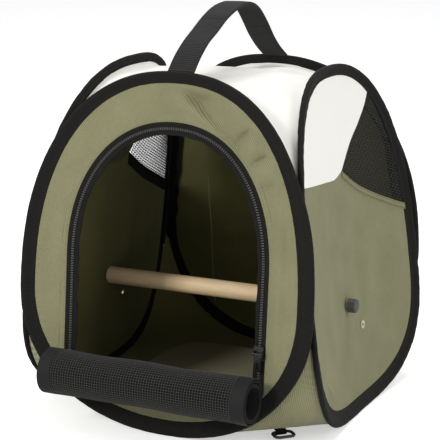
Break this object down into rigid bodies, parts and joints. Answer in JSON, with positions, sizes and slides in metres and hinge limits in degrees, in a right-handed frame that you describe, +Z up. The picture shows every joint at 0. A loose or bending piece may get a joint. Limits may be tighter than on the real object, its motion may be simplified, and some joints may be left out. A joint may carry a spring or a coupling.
{
  "type": "bird travel carrier",
  "caption": "Soft upright travel carrier for a small bird: sprung hoop walls, arched zip doorway rolled open, wooden perch on screw knobs, net windows, carrying handle.",
  "frame": {"origin": "on the ground under the middle of the four hoops", "axes": "+X to the carrier's own left-to-right with the doorway in front, -Y out of the doorway, +Z up"},
  "size_m": [0.2882, 0.3214, 0.3594],
  "materials": {
    "olive_cloth": "coated twill cloth",
    "cream_cloth": "smooth coated cloth",
    "black_tape": "ribbed binding tape",
    "black_net": "knitted net",
    "webbing": "woven webbing",
    "spring_steel": "flat sprung wire",
    "steel": "plated",
    "dark_metal": "black lacquer",
    "black_plastic": "moulded",
    "board": "stiff cloth-covered board",
    "perch_wood": "bare turned wood",
    "brass": "pressed"
  },
  "bodies": {
    "bag": {"front_hoop_wire": "spring_steel", "rear_hoop_wire": "spring_steel", "right_hoop_wire": "spring_steel", "left_hoop_wire": "spring_steel", "front_hoop_binding": "black_tape", "rear_hoop_binding": "black_tape", "right_hoop_binding": "black_tape", "left_hoop_binding": "black_tape", "front_panel": "olive_cloth", "rear_panel": "olive_cloth", "top_panel": "cream_cloth", "bottom_panel": "olive_cloth", "zip_tape": "black_tape", "zip_teeth": "black_plastic", "zip_stops": "dark_metal", "perch": "perch_wood", "handle_front_root": "webbing", "handle_rear_root": "webbing", "right_lower_panel": "olive_cloth", "right_cream_patch": "cream_cloth", "right_mesh_window": "black_net", "right_hem_tape": "olive_cloth", "right_window_tape": "black_tape", "right_eyelet": "brass", "front_right_corner_tape": "black_tape", "rear_right_corner_tape": "black_tape", "left_lower_panel": "olive_cloth", "left_cream_patch": "cream_cloth", "left_mesh_window": "black_net", "left_hem_tape": "olive_cloth", "left_window_tape": "black_tape", "left_eyelet": "brass", "front_left_corner_tape": "black_tape", "rear_left_corner_tape": "black_tape", "ring_tab": "webbing", "rear_seam_tape": "olive_cloth", "right_washer": "steel", "left_washer": "steel"},
    "door": {"door_roll": "black_net", "door_roll_end_bands": "black_tape"},
    "slider": {"zip_slider": "dark_metal"},
    "puller": {"zip_puller": "dark_metal"},
    "right_knob": {"right_knob": "black_plastic"},
    "left_knob": {"left_knob": "black_plastic"},
    "handle": {"handle": "webbing"},
    "ring": {"d_ring": "black_plastic"},
    "board": {"floor_board": "board"}
  },
  "joints": [
    {"name": "door_roll_flop", "type": "hinge", "parent": "bag", "child": "door", "pos_m": [0, -0.13847, 0.04], "axis": [1, 0, 0], "range_deg": [0, 45]},
    {"name": "zip_slide", "type": "slide", "parent": "bag", "child": "slider", "axis": [0, 0.0985, 0.9951], "range_m": [-0.014, 0.055]},
    {"name": "puller_swing", "type": "hinge", "parent": "slider", "child": "puller", "pos_m": [0.0905, -0.13656, 0.086], "axis": [1, 0, 0], "range_deg": [-150, 0]},
    {"name": "handle_flop", "type": "hinge", "parent": "bag", "child": "handle", "pos_m": [0.002, -0.0985, 0.3093], "axis": [0, 0.9993, -0.0369], "range_deg": [-45, 45], "deforming": ["handle_front_root", "handle_rear_root"]},
    {"name": "right_knob_turn", "type": "hinge", "parent": "bag", "child": "right_knob", "pos_m": [0.123, -0.0123, 0.0993], "axis": [1, 0, 0], "range_deg": [0, 1800]},
    {"name": "left_knob_turn", "type": "hinge", "parent": "bag", "child": "left_knob", "pos_m": [-0.123, -0.0123, 0.0993], "axis": [-1, 0, 0], "range_deg": [0, 1800]},
    {"name": "ring_swing", "type": "hinge", "parent": "bag", "child": "ring", "pos_m": [0.092, -0.09, 0.00256], "axis": [0.7071, 0.7071, 0], "range_deg": [-12, 85]},
    {"name": "board_lift", "type": "slide", "parent": "bag", "child": "board", "axis": [0, 0, 1], "range_m": [0, 0.06]}
  ]
}
